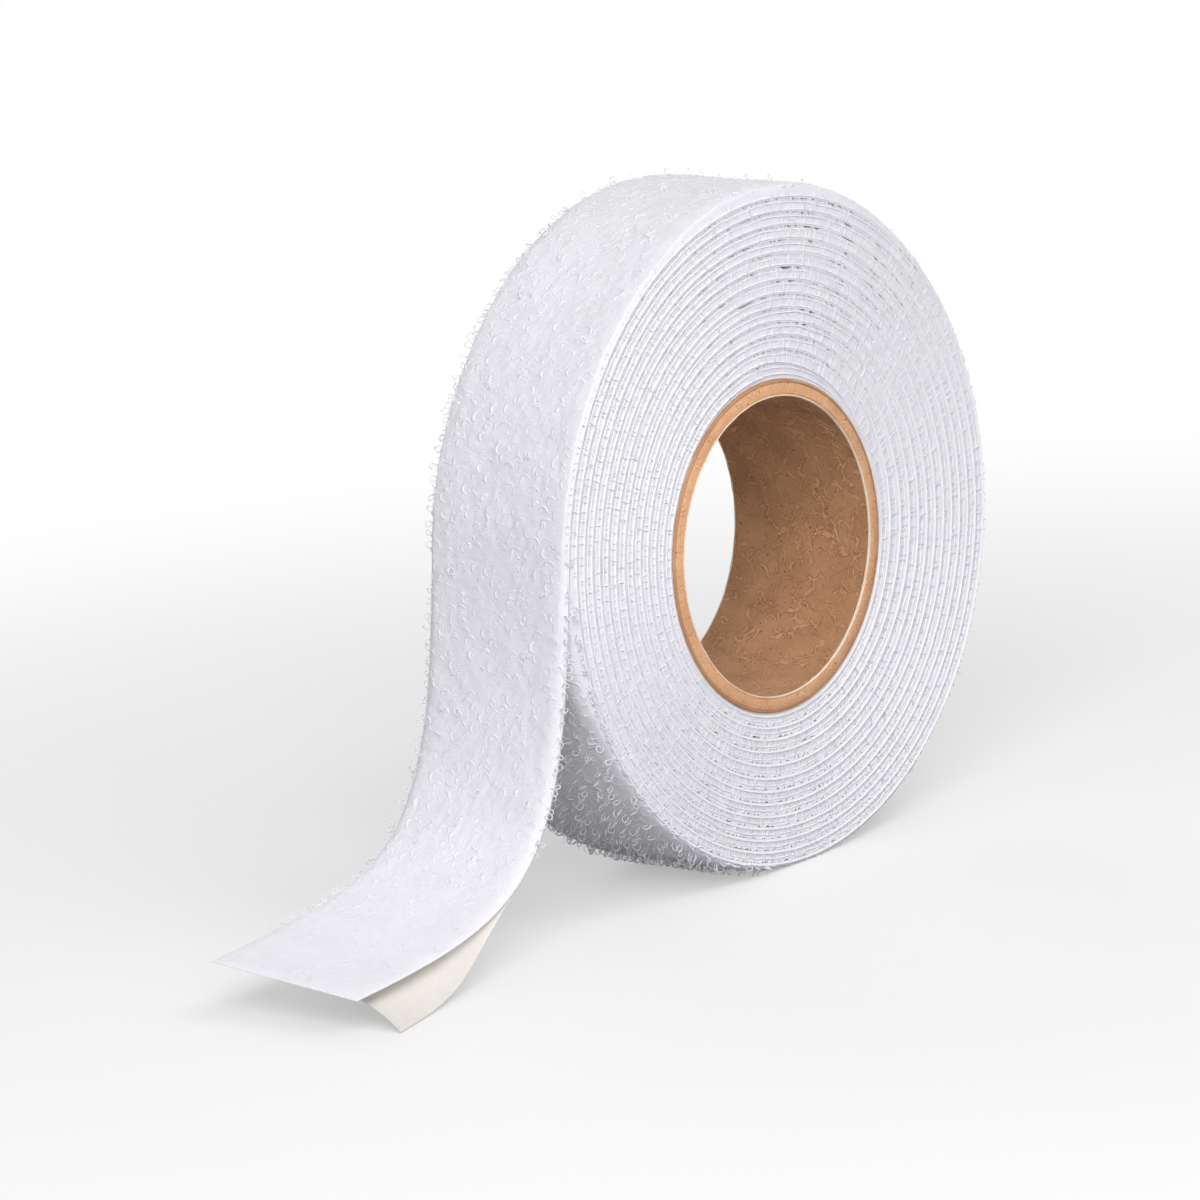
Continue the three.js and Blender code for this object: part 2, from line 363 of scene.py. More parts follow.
def strand_piece(name, paths, radii, sideways, material, sides=3):
    """Thin tubes along paths, which is steps x 3 for one tube or count x steps x 3."""
    paths = paths.reshape(-1, *paths.shape[-2:])
    count, steps, _ = paths.shape
    radii = np.broadcast_to(radii, (count, steps))
    paths[..., 2] = np.maximum(paths[..., 2], FLOOR_CLEAR + radii)
    way = unit(np.gradient(paths, axis=1))
    over = unit(np.cross(way, np.reshape(sideways, (-1, 1, 3))))
    turn = (2 * np.pi * np.arange(sides) / sides)[:, None]
    spokes = over[:, :, None] * np.cos(turn) + np.cross(way, over)[:, :, None] * np.sin(turn)
    points = paths[:, :, None] + spokes * radii[:, :, None, None]
    fan = np.array([(0, step + 1, step) for step in range(1, sides - 1)])
    one = np.concatenate([strip_triangles(steps, sides), fan, fan[:, ::-1] + (steps - 1) * sides])
    starts = np.arange(count)[:, None, None] * steps * sides
    triangles = (one[None] + starts).reshape(-1, 3)
    return mesh_piece(name, points, triangles, material, None, tube_places(count, steps, sides, fan))


def on_roll(piece):
    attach(piece, "roll")


def dress(piece, slot, move, *nodes):
    """Calls move on a piece and hides the frame's nodes that it takes the place of. The slot is not used."""
    move(piece)
    if nodes:
        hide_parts(*nodes)
    return piece


def dress_pile(move, *pieces):
    for piece in pieces:
        dress(piece, "loop_pile", move)


# Materials

WHITE = (1, 1, 1, 1)
FIBRE_SIZE = 0.5 * MM
CURLS = ((3.0 * MM, 1.6 * MM), (4.1 * MM, 2.4 * MM))


def fill_inputs(tree, node, inputs):
    """Sets a node's inputs, each to a value or another node's output. None leaves it as it is."""
    for place, value in inputs.items():
        if isinstance(value, bpy.types.NodeSocket):
            tree.links.new(value, node.inputs[place])
        elif value is not None:
            node.inputs[place].default_value = value


def add_node(tree, kind, output, inputs, **settings):
    """Output of a new shader node."""
    node = tree.nodes.new(f"ShaderNode{kind}")
    for setting, value in settings.items():
        setattr(node, setting, value)
    fill_inputs(tree, node, inputs)
    return node.outputs[output]


def new_material(name):
    material = bpy.data.materials.new(name)
    material.use_nodes = True
    return material, material.node_tree


def finish_material(material, colour, normal, roughness, specular, sheen=0.0):
    tree = material.node_tree
    inputs = {"Base Color": colour, "Normal": normal, "Roughness": roughness}
    inputs |= {"Specular IOR Level": specular, "Sheen Weight": sheen, "Sheen Roughness": 0.5}
    fill_inputs(tree, tree.nodes["Principled BSDF"], inputs)
    return material


def coordinates(tree, stretch=(1, 1, 1)):
    place = add_node(tree, "TexCoord", "Object", {})
    return add_node(tree, "Mapping", "Vector", {"Vector": place, "Scale": stretch})


def noise(tree, where, size, detail=3, distortion=0.0, output="Fac"):
    inputs = {"Vector": where, "Scale": 1 / size, "Detail": detail, "Distortion": distortion}
    return add_node(tree, "TexNoise", output, inputs)


def ramp(tree, value, *stops):
    """Colour ramp with stops of (place, colour)."""
    node = tree.nodes.new("ShaderNodeValToRGB")
    elements = node.color_ramp.elements
    while len(elements) < len(stops):
        elements.new(0.5)
    for element, (place, colour) in zip(elements, stops):
        element.position = place
        element.color = (*colour, 1)
    tree.links.new(value, node.inputs["Fac"])
    return node.outputs["Color"]


def blended(tree, mode, share, first, second):
    """Mix of two colours, each a value or another node's output."""
    return add_node(tree, "Mix", 2, {0: share, 6: first, 7: second}, data_type="RGBA", blend_type=mode)


def bump(tree, height, depth, before=None):
    return add_node(tree, "Bump", "Normal", {"Height": height, "Distance": depth, "Normal": before})


def math_node(tree, operation, first, second):
    return add_node(tree, "Math", 0, {0: first, 1: second}, operation=operation)


def grey(level):
    """White nylon's cast: a trace of violet."""
    return (level, level * 0.985, min(1.0, level * 1.045))


def pile_material(name, dark, light, cloud_size, relief):
    """Brushed nylon: soft clouds of shade with fine fibres over them."""
    material, tree = new_material(name)
    where = coordinates(tree)
    clouds = ramp(tree, noise(tree, where, cloud_size, 2), (0.3, grey(dark)), (0.7, grey(light)))
    fibres = ramp(tree, noise(tree, where, FIBRE_SIZE, 4, 0.6), (0.3, grey(dark)), (0.65, grey(light)))
    normal = bump(tree, noise(tree, where, FIBRE_SIZE, 4, 0.8), relief)
    return finish_material(material, blended(tree, "MIX", 0.5, clouds, fibres), normal, 0.9, 0.2, 0.3)


def clouded_material(name, dark, light, size, roughness, specular, sheen=0.0):
    """Smooth matter with soft clouds of shade."""
    material, tree = new_material(name)
    colour = ramp(tree, noise(tree, coordinates(tree), size, 2), (0.3, dark), (0.7, light))
    return finish_material(material, colour, None, roughness, specular, sheen)


def strand_material(name, dark, light):
    return clouded_material(name, grey(dark), grey(light), 2.5 * MM, 0.55, 0.35, 0.1)


def adhesive_material(name, dark, light):
    return clouded_material(name, dark, light, 3 * MM, 0.35, 0.5)


def cloth_material():
    """Knitted base of the tape, with its stitches."""
    material, tree = new_material("knit_base")
    stitches = noise(tree, coordinates(tree), 0.35 * MM, 2)
    colour = ramp(tree, stitches, (0.35, grey(0.87)), (0.65, grey(0.94)))
    return finish_material(material, colour, bump(tree, stitches, 0.03 * MM), 0.8, 0.25, 0.1)


def paper_material(name, dark, light):
    """Glazed release paper: faint felt marks and a soft sheen."""
    material, tree = new_material(name)
    where = coordinates(tree)
    felt = noise(tree, where, 1.2 * MM, 4)
    fine = ramp(tree, felt, (0.3, dark), (0.7, light))
    wide = ramp(tree, noise(tree, where, 9 * MM, 2), (0.3, dark), (0.7, light))
    colour = blended(tree, "MIX", 0.5, fine, wide)
    return finish_material(material, colour, bump(tree, felt, 0.01 * MM), 0.42, 0.4)


def dots(tree, where, spacing, radius):
    """1 inside small round dots strewn at a spacing, else 0."""
    distance = add_node(tree, "TexVoronoi", "Distance", {"Vector": where, "Scale": 1 / spacing})
    return math_node(tree, "LESS_THAN", distance, radius / spacing)


def cell_borders(tree, where, size, bend):
    """Distance to the borders of bent cells, as a share of their size. Borders are missing in places."""
    wander = noise(tree, where, size, 1, output="Color")
    moved = {0: wander, 1: (2 * bend,) * 3, 2: where}
    moved = add_node(tree, "VectorMath", 0, moved, operation="MULTIPLY_ADD")
    cells = {"Vector": moved, "Scale": 1 / size}
    cells = add_node(tree, "TexVoronoi", "Distance", cells, feature="DISTANCE_TO_EDGE")
    away = {"Value": noise(tree, where, 0.6 * size, 1), "From Min": 0.46, "From Max": 0.54, "To Max": 0.3}
    return math_node(tree, "ADD", cells, add_node(tree, "MapRange", "Result", away))


def board_material(name, dark, middle, light, fleck, swirls=0.0):
    """Kraft board: mottled brown with long fibres and small dark flecks.

    Swirls is how strongly curled fibres show, each a bumped line with painted highlight along it and painted
    shade on its flank."""
    material, tree = new_material(name)
    where = coordinates(tree)
    long_fibres = noise(tree, coordinates(tree, (0.35, 1, 1)), 0.35 * MM, 3, 1.5)
    mottle = ramp(tree, noise(tree, where, 6 * MM, 4), (0.3, dark), (0.5, middle), (0.72, light))
    colour = blended(tree, "MIX", 0.3, mottle, ramp(tree, long_fibres, (0.35, dark), (0.65, light)))
    specks = ramp(tree, dots(tree, where, 2.3 * MM, 0.17 * MM), (0, (1, 1, 1)), (1, fleck))
    colour = blended(tree, "MULTIPLY", 1.0, colour, specks)
    normal = bump(tree, long_fibres, 0.03 * MM)
    normal = bump(tree, noise(tree, where, 2.2 * MM, 2, 2.0), 0.10 * MM, normal)
    # The swirls' colour paints light and shade: the ridge tone is painted highlight along each curled fibre,
    # the flank tone painted shade beside it, on top of the bump that raises them.
    plain = (0.5,) * 3
    flank = (0.5 - 0.13 * swirls,) * 3
    ridge = (0.5 + 0.15 * swirls,) * 3
    for size, bend in CURLS if swirls else ():
        field = cell_borders(tree, where, size, bend)
        lines = ramp(tree, field, (0.0, ridge), (0.03, ridge), (0.05, flank), (0.12, plain))
        colour = blended(tree, "OVERLAY", 1.0, colour, lines)
        normal = bump(tree, lines, 0.2 * MM, normal)
    return finish_material(material, colour, normal, 0.7, 0.3)


# All of the pile is the same white nylon. The mat and the lying loops are painted a shade darker than the
# standing filaments and the selvedge (loop_filament, selvedge): painted shade among the pile's fibres, and
# painted light on the filaments that stand out of it.
pile_mat = pile_material("loop_pile", 0.80, 0.88, 5 * MM, 0.08 * MM)
# loop_pile_side is the same nylon painted darker still: painted shade in the recessed bands between the
# turns.
band_mat = pile_material("loop_pile_side", 0.77, 0.86, 1.5 * MM, 0.08 * MM)
lying_mat = pile_material("lying_filament", 0.80, 0.875, 5 * MM, 0.02 * MM)
loop_mat = strand_material("loop_filament", 0.90, 0.94)
cord_mat = strand_material("selvedge", 0.89, 0.92)
cloth_mat = cloth_material()
adhesive_mat = adhesive_material("adhesive", (0.86, 0.82, 0.79), (0.9, 0.87, 0.85))
# adhesive_edge and release_paper_edge are the winding's cut edges of the same adhesive and release paper,
# painted lighter and whiter: painted highlight on the bright lines between the turns.
wound_adhesive_mat = adhesive_material("adhesive_edge", (0.86, 0.84, 0.83), (0.9, 0.885, 0.88))
paper_mat = paper_material("release_paper", (0.735, 0.7, 0.65), (0.805, 0.775, 0.725))
wound_paper_mat = paper_material("release_paper_edge", (0.87, 0.86, 0.855), (0.92, 0.915, 0.915))
lip_mat = board_material(
    "pale_ply", (0.82, 0.65, 0.49), (0.9, 0.76, 0.61), (0.94, 0.84, 0.72), (0.8, 0.7, 0.6)
)
wall_mat = board_material(
    "bore_wall", (0.36, 0.185, 0.092), (0.46, 0.25, 0.128), (0.56, 0.31, 0.165), (0.35, 0.22, 0.16), 1.0
)
board_mat = board_material(
    "kraft_board", (0.63, 0.34, 0.18), (0.76, 0.42, 0.23), (0.86, 0.5, 0.285), (0.4, 0.28, 0.2), 0.6
)
ply_mat = board_material(
    "kraft_ply", (0.4, 0.2, 0.1), (0.5, 0.27, 0.14), (0.6, 0.34, 0.18), (0.4, 0.3, 0.25)
)
fibre_mat = board_material(
    "kraft_fibre", (0.5, 0.28, 0.15), (0.58, 0.33, 0.185), (0.66, 0.4, 0.24), (0.7, 0.6, 0.5)
)
bore_fibre_mat = board_material(
    "bore_fibre", (0.4, 0.21, 0.105), (0.5, 0.28, 0.142), (0.6, 0.34, 0.185), (0.8, 0.7, 0.6)
)


# Core

CORE_SEGMENTS = 256
BORE_RADIUS = 22.2 * MM
INNER_PLY = 0.4 * MM
CORE_BOARD = 1.6 * MM
OUTER_PLY = 0.4 * MM
CORE_END = HALF_WIDTH + 0.2 * MM
WALL_ROWS = 48
WALL_RELIEF = 0.02 * MM
PLY_ROUND = 0.12 * MM
FACING = 0.1 * MM
FOLD_END = CORE_END - 0.3 * MM
SPLIT_DEPTH = 0.3 * MM
LIP_OPEN = 0.2 * MM
WALL_FIBRES = 1100
WALL_FIBRE_RADIUS = 0.1 * MM
CUT_FIBRES = 130
CUT_FIBRE_RADIUS = 0.07 * MM

core_turn = 2 * math.pi * np.arange(CORE_SEGMENTS) / CORE_SEGMENTS


def colour_lip_and_shade_gap(piece, corners, parted):
    """Paints the gap where the lining's lip has parted in dark kraft-ply brown, painted shade in the split,
    and shows board beside the lip where it hasn't.
    """
    number = np.arange(len(piece.data.polygons))
    corner = number % corners
    gap = parted[number // corners % len(parted)]
    # Faces inside the parted split take the dark ply brown: painted shade.
    index = np.where(gap & (corner >= 2) & (corner <= 4), 1, 0)
    index = np.where(~gap & (corner >= 3) & (corner <= 5), 2, index)
    piece.data.materials.append(ply_mat)
    piece.data.materials.append(board_mat)
    piece.data.polygons.foreach_set("material_index", index.astype(np.int32))


def core_ply(name, node, inner, thickness, material, slot, ragged, facing=0):
    """One ply of the core: a tube whose cut ends are rounded and a little uneven.

    Facing is the depth left inside it for a face paper, which its ends fold over."""
    outer = inner + thickness
    around = core_turn * inner
    front = -CORE_END - ragged * (1 + lattice_noise(around, 0, 1.5 * MM, 5)) / 2
    back = CORE_END + ragged * (1 + lattice_noise(around, 9, 1.5 * MM, 6)) / 2
    round_off = min(PLY_ROUND, thickness / 3)
    from_right = np.abs((core_turn + math.pi) % (2 * math.pi) - math.pi)
    split = SPLIT_DEPTH * (1 - smooth(from_right, 0.7, 1.3))
    split = split * (0.7 + 0.5 * lattice_noise(around, 3, 2.5 * MM, 7)) + 0.1 * MM
    cut = [(outer - round_off, front), (outer, front + round_off)]
    bed = []
    if facing:
        cut = [
            (inner + 0.4 * thickness, front),
            (inner + 0.5 * thickness, front + split),
            (inner + 0.72 * thickness, front + split),
            (inner + 0.8 * thickness, front + 0.12 * MM),
            (outer, front + 0.15 * MM),
        ]
        bore = inner + facing
        bed = [(inner, FOLD_END), (bore, FOLD_END), (bore, -FOLD_END), (inner, -FOLD_END)]
    profile = [(inner, front + round_off), (inner + round_off / 2, front), *cut]
    profile += [(outer, back - round_off), (outer - round_off, back)]
    profile += [(inner + round_off, back), (inner, back - round_off), *bed]
    sections = np.stack([polar(radius, core_turn, side) for radius, side in profile], 1)
    piece = ring_piece(name, sections, material, CORE_SHARP)
    if facing:
        colour_lip_and_shade_gap(piece, len(profile), split > LIP_OPEN)
    dress(piece, slot, on_roll, node)


def bore_wall():
    """The brown face paper inside the bore, with a surface that is slightly uneven."""
    rows = np.linspace(FOLD_END, -FOLD_END, WALL_ROWS)
    turned, across = np.meshgrid(core_turn, rows, indexing="ij")
    around = turned * BORE_RADIUS
    uneven = lattice_noise(around, across, 1.9 * MM, 23) + lattice_noise(around, across, 5 * MM, 24)
    inner = BORE_RADIUS + WALL_RELIEF + WALL_RELIEF * uneven
    outer = np.full((CORE_SEGMENTS, 2), BORE_RADIUS + FACING - 0.01 * MM)
    turned = np.concatenate([turned, turned[:, :2]], 1)
    across = np.concatenate([across, np.tile([-FOLD_END, FOLD_END], (CORE_SEGMENTS, 1))], 1)
    points = polar(np.concatenate([inner, outer], 1), turned, across)
    dress(ring_piece("bore_wall", points, wall_mat, CORE_SHARP), "kraft_ply", on_roll)


def core_fibres():
    """Long fibres that stand up from the bore's wall as low curved ridges."""
    rng = np.random.default_rng(21)
    each = (WALL_FIBRES, 1)
    start_angle = rng.uniform(0, 2 * math.pi, each)
    start_side = rng.uniform(-CORE_END, CORE_END, each)
    length = rng.uniform(1.5, 6.0, each) * MM
    heading = rng.uniform(0, 2 * math.pi, each)
    curl = rng.normal(0, 500, each)
    share = np.linspace(0, 1, 14)
    way = heading + curl * length * (share - 0.5)
    step = length / (len(share) - 1)
    around = np.cumsum(np.cos(way) * step, axis=1) / BORE_RADIUS + start_angle
    side = np.clip(np.cumsum(np.sin(way) * step, axis=1) + start_side, -FOLD_END, FOLD_END)
    paths = polar(BORE_RADIUS + 0.01 * MM, around, side)
    inward = -np.stack([np.cos(start_angle), 0 * start_angle, np.sin(start_angle)], -1)
    taper = np.sin(np.pi * np.clip(share, 0.06, 0.94)) ** 0.5
    radii = WALL_FIBRE_RADIUS * taper * rng.uniform(0.5, 1.2, each)
    dress(strand_piece("bore_fibres", paths, radii, inward, bore_fibre_mat, 4), "kraft_ply", on_roll)


def cut_fibres(name, side):
    """Short strokes left by the blade across the board's cut end."""
    rng = np.random.default_rng(25)
    each = (CUT_FIBRES, 1)
    angle = rng.uniform(0, 2 * math.pi, each)
    low = BORE_RADIUS + INNER_PLY + 0.1 * MM
    high = low + CORE_BOARD - 0.1 * MM
    start = rng.uniform(low, high - 0.5 * MM, each)
    length = np.minimum(rng.uniform(0.4, 1.4, each) * MM, high - start)
    share = np.linspace(0, 1, 5)
    turned = angle + rng.normal(0, 0.012, each) * share
    paths = polar(start + length * share, turned, side * (CORE_END + 0.02 * MM))
    taper = np.sin(np.pi * np.clip(share, 0.08, 0.92))
    radii = CUT_FIBRE_RADIUS * taper * rng.uniform(0.6, 1.2, each)
    dress(strand_piece(name, paths, radii, side * ACROSS, fibre_mat, 4), "kraft_board", on_roll)


board_radius = BORE_RADIUS + INNER_PLY
outer_ply_radius = board_radius + CORE_BOARD
core_ply("inner_ply", "core_inner_ply", BORE_RADIUS, INNER_PLY, lip_mat, "pale_ply", 0.12 * MM, FACING)
core_ply("board_ply", "core_board", board_radius, CORE_BOARD, board_mat, "kraft_board", 0.04 * MM)
core_ply("outer_ply", "core_outer_ply", outer_ply_radius, OUTER_PLY, ply_mat, "kraft_ply", 0.03 * MM)
bore_wall()
core_fibres()
cut_fibres("front_edge_fibres", -1)
cut_fibres("back_edge_fibres", 1)


# Winding: cloth, adhesive, liner and the pile's edge between the turns

WINDING_STEP = 1.1 * MM
BAND_STEP = 0.24 * MM
BAND_MAX = 1.3 * MM
BAND_RECESS = 0.16 * MM
BAND_LIP = 0.05 * MM
NOTCH_OVER = 0.15
NOTCH_DEPTH = 0.55 * MM
TICK_GAP = 1.2 * MM
TICK_OVER = 0.16 * MM
SELVEDGE_STEP = 1.1 * MM
SELVEDGE_RADIUS = 0.14 * MM
SELVEDGE_PLACE = HALF_WIDTH - 0.05 * MM
SELVEDGE_DEPTH = CLOTH_DEPTH + CLOTH_THICKNESS / 2
THREAD_STEP = 0.9 * MM
THREAD_DROP = 0.6 * MM
THREAD_RADIUS = 0.1 * MM
FIRST_TURN_RECESS = 0.15 * MM
WADDING_CLEAR = 0.04 * MM
START_LINE_SPAN = 75
START_LINE_HEIGHTS = np.array([[0.8], [0.2], [1.75]]) * MM
START_LINE_RADII = np.array([[0.14], [0.1], [0.1]]) * MM


def wound_places(step, last=WOUND_ANGLE):
    """Angles along the winding that are about a step apart, and places along the tape for noise."""
    coarse = np.linspace(0, last, 4000)
    length = np.concatenate([[0], np.cumsum(np.radians(np.diff(coarse)) * outer_radius(coarse[1:]))])
    angle = np.interp(np.linspace(0, length[-1], int(length[-1] / step)), length, coarse)
    return angle, np.radians(angle) * outer_radius(angle)


def wound_ribbon(name, depth, thickness, recess, wander, seed, material, slot, *nodes):
    """A layer's unbroken ribbon, whose two edges wander a little from straight."""
    angle, along = wound_places(WINDING_STEP)
    settled = 1 - smooth(angle, WOUND_ANGLE - 20, WOUND_ANGLE)
    recess = recess * settled + FIRST_TURN_RECESS * (1 - smooth(angle, 300, 400))
    front = -HALF_WIDTH + recess + wander * settled * lattice_noise(along, 0, 6 * MM, seed)
    back = HALF_WIDTH - recess + wander * settled * lattice_noise(along, 50, 6 * MM, seed)
    edges = np.stack([front, back], 1)
    faces = [winding_point(angle[:, None], below, edges) for below in (depth, depth + thickness)]
    return dress(sheet_piece(name, *faces, material), slot, on_roll, *nodes)


def start_wadding():
    """Crushed pile between the core and the first turn, where the winding steps over its start."""
    angle = np.linspace(0.05, 359.98, 700)
    around = np.radians(angle) * CORE_RADIUS
    inner = CORE_RADIUS + WADDING_CLEAR
    outer = outer_radius(angle) - TAPE_AND_LINER - WADDING_CLEAR

    def edge(side, seed):
        face = side * (HALF_WIDTH - BAND_RECESS - 0.06 * MM * lattice_noise(around, 0, 0.9 * MM, seed))
        levels = [(inner, face - side * 0.1 * MM), (inner + 0.3 * (outer - inner), face), (outer, face)]
        return [polar(radius, np.radians(START_ANGLE + angle), place) for radius, place in levels]

    sections = np.stack(edge(-1, 33) + edge(1, 43)[::-1], 1)
    return loft("start_wadding", sections, band_mat, PILE_SHARP)


def start_lines(name, side):
    """Filaments drawn out of the tape's start, which run on along the wadding and sink to the core."""
    angle = np.linspace(360.5, 360.5 - START_LINE_SPAN, 40)
    share = np.linspace(1, 0, 40)
    radius = CORE_RADIUS + 0.1 * MM + START_LINE_HEIGHTS * smooth(share, -0.3, 1)
    paths = polar(radius, np.radians(START_ANGLE + angle), side * (HALF_WIDTH - 0.08 * MM))
    return strand_piece(name, paths, START_LINE_RADII * (0.4 + 0.6 * share), ACROSS, loop_mat, 4)


def pile_fill(angle):
    """Height of the pile between two turns, which fills the gap up to the next turn's liner."""
    gap = outer_radius(angle + 360) - outer_radius(angle) - TAPE_AND_LINER
    return np.clip(gap - 0.01 * MM, 0.02 * MM, BAND_MAX)


def wound_pile():
    """The pile between two turns: set back from the cloth's edge, its top ragged where it lies level."""
    angle, along = wound_places(BAND_STEP, INNER_TURNS)
    fill = pile_fill(angle)
    level = np.sin(np.radians(START_ANGLE + angle)) ** 2

    def edge(side, seed):
        notch = lattice_noise(along, 0, 0.25 * MM, seed) + 0.15 * lattice_noise(along, 7, 1.7 * MM, seed + 1)
        soft = 0.07 * MM * lattice_noise(along, 3, 0.7 * MM, seed + 2)
        back = side * (HALF_WIDTH - BAND_RECESS + soft)
        top = -fill + NOTCH_DEPTH * np.clip(notch - NOTCH_OVER, 0, 1) * (0.3 + 0.7 * level)
        corners = [
            (CLOTH_DEPTH + 0.02 * MM, side * (HALF_WIDTH - 0.1 * MM)),
            (CLOTH_DEPTH - 0.2 * MM, back),
            (top + 0.22 * MM, back),
            (top, side * (HALF_WIDTH - BAND_LIP + soft)),
        ]
        return [winding_point(angle, depth, place) for depth, place in corners]

    sections = np.stack(edge(-1, 31) + edge(1, 41)[::-1], 1)
    return loft("wound_pile", sections, band_mat, PILE_SHARP)


def edge_thread(name, side, seed):
    """The line that the loops' heads make between two turns: one long filament that sinks in and out."""
    angle, along = wound_places(THREAD_STEP, INNER_TURNS)
    depth = THREAD_DROP - pile_fill(angle) + 0.13 * MM * lattice_noise(along, 11, 4 * MM, seed)
    sink = 0.07 * MM * lattice_noise(along, 23, 7 * MM, seed + 1)
    path = winding_point(angle, depth, side * (HALF_WIDTH - BAND_RECESS + 0.04 * MM + sink))
    return strand_piece(name, path, THREAD_RADIUS, ACROSS, loop_mat, 4)


def wound_selvedge(name, side, seed):
    """The cord that binds the cloth's edge, round all the turns."""
    angle, along = wound_places(SELVEDGE_STEP)
    wander = 0.03 * MM * lattice_noise(along, 31, 5 * MM, seed)
    path = winding_point(angle, SELVEDGE_DEPTH + wander, side * SELVEDGE_PLACE)
    return strand_piece(name, path, SELVEDGE_RADIUS, ACROSS, cord_mat, 6)


def edge_ticks(name, side, seed):
    """Loops at the tape's edge, seen between the turns as short bright strokes."""
    rng = np.random.default_rng(seed)
    angle, _ = wound_places(TICK_GAP)
    each = (len(angle), 1)
    angle = angle + np.degrees(rng.normal(0, 0.3, len(angle)) * TICK_GAP / outer_radius(angle))
    angle = np.clip(angle, 1, WOUND_ANGLE - 1)[:, None]
    fill = np.where(angle > INNER_TURNS, -0.35 * MM, pile_fill(np.minimum(angle, INNER_TURNS)))
    share = np.linspace(0, 1, 6)
    reach = rng.uniform(0.35, 1.0, each) ** 0.8
    inner = CLOTH_DEPTH + TICK_OVER
    depth = inner - (inner + fill) * reach * share
    lean = rng.normal(0, 0.16, each) * MM
    bow = rng.normal(0, 0.09, each) * MM
    turned = angle + np.degrees((lean * share + bow * np.sin(np.pi * share)) / outer_radius(angle))
    proud = rng.uniform(-0.05, 0.05, each) * MM
    place = side * (HALF_WIDTH + proud - (BAND_LIP + 0.02 * MM) * share ** 0.7)
    radii = rng.uniform(0.07, 0.14, each) * MM * (1 - 0.35 * share)
    return strand_piece(name, winding_point(turned, depth, place), radii, ACROSS, loop_mat)


wound_cloth = wound_ribbon(
    "wound_cloth", CLOTH_DEPTH, CLOTH_THICKNESS, 0, 0.05 * MM, 51,
    cloth_mat, "loop_pile", "wound_loop_tape",
)
wound_ribbon(
    "wound_adhesive", TAPE_THICKNESS, LINER_GAP, 0.03 * MM, 0.03 * MM, 52,
    wound_adhesive_mat, "release_paper",
)
wound_liner = wound_ribbon(
    "wound_liner", LINER_DEPTH, LINER_THICKNESS, 0.08 * MM, 0.05 * MM, 53,
    wound_paper_mat, "release_paper", "wound_release_liner",
)
dress_pile(
    on_roll,
    start_wadding(),
    start_lines("front_start_lines", -1),
    start_lines("back_start_lines", 1),
    wound_pile(),
    wound_selvedge("front_selvedge", -1, 67),
    wound_selvedge("back_selvedge", 1, 68),
    edge_ticks("front_edge_loops", -1, 61),
    edge_ticks("back_edge_loops", 1, 62),
    edge_thread("front_edge_thread", -1, 63),
    edge_thread("back_edge_thread", 1, 65),
)


# Outer pile: a soft mat with loops standing on it

MAT_DEPTH = 0.2 * MM
MAT_STEP = 0.42 * MM
MAT_MARGIN = 0.22 * MM
MAT_CLOSE_STEPS = np.array([0, 0.02, 0.08, 0.18, 0.32, 0.5, 0.75]) * MM
ROLL_ROUND = 0.3 * MM
TAIL_ROUND = 1.5 * MM
SOFT_ROUND = 2.8 * MM
SOFT_SHARE = 0.38
ROUND_GROWS = (-10 * MM, 20 * MM)
WEDGE_BEGINS = (4 * MM, 14 * MM)
WEDGE_ENDS = (70 * MM, 95 * MM)
WEDGE_SOFT_GAIN = 0.4
WEDGE_RAISE = 1.5 * MM
WEDGE_RAISE_ENDS = (14 * MM, 30 * MM)
WEDGE_CLEAR = 0.08 * MM
BACK_RAISE = 1.5 * MM
BACK_RAISE_SIDES = (-6 * MM, HALF_WIDTH)
FRONT_RAISE_SHARE = 0.7
FRONT_RAISE_ENDS = (130, 95)
TOP_BEGINS = (35, 75)
TOP_ENDS = (95, 150)
START_ROOM = 0.12 * MM
WEDGE_ROOM = 0.6 * MM
ROOM_GROWS = (10 * MM, 18 * MM)
FREE_ROOM = 0.7 * MM
ROW_GAP = 1.48 * MM
TUFT_GAP = 2.45 * MM
TUFT_MARGIN = 0.6 * MM
LOOP_MARGIN = 0.5 * MM
BACK_TILT = math.radians(35)
LEG_SINK = 0.3 * MM
RING_SWEEP = 145
UPRIGHT_RADIUS = 0.075 * MM
EDGE_LOOP_GAP = 1.3 * MM
EDGE_LOOP_INSET = 0.35 * MM
THIN_START = 25 * MM
THIN_FULL = 75 * MM
THIN_SHARE = 0.42


def in_wedge(length):
    """1 on the stretch of the roll that faces the free end, else 0."""
    start = length + OUTER_TURN
    return smooth(start, *WEDGE_BEGINS) * (1 - smooth(start, *WEDGE_ENDS))


def quarter_round(share):
    return np.sqrt(1 - (1 - np.clip(share, 0, 1)) ** 2)


def edge_fall(length, side):
    """Share of the mat's height near the tape's edges and end, where it rounds off to the cloth."""
    rounding = ROLL_ROUND + (TAIL_ROUND - ROLL_ROUND) * smooth(length, *ROUND_GROWS)
    from_edge = HALF_WIDTH - MAT_MARGIN - np.abs(side)
    from_end = TAIL_LENGTH - MAT_MARGIN - length
    soft_share = SOFT_SHARE + WEDGE_SOFT_GAIN * in_wedge(length)
    fall = 1.0
    for distance in (from_edge, from_end):
        soft = 1 - soft_share * (1 - quarter_round(distance / SOFT_ROUND))
        fall = fall * quarter_round(distance / rounding) * soft
    return fall


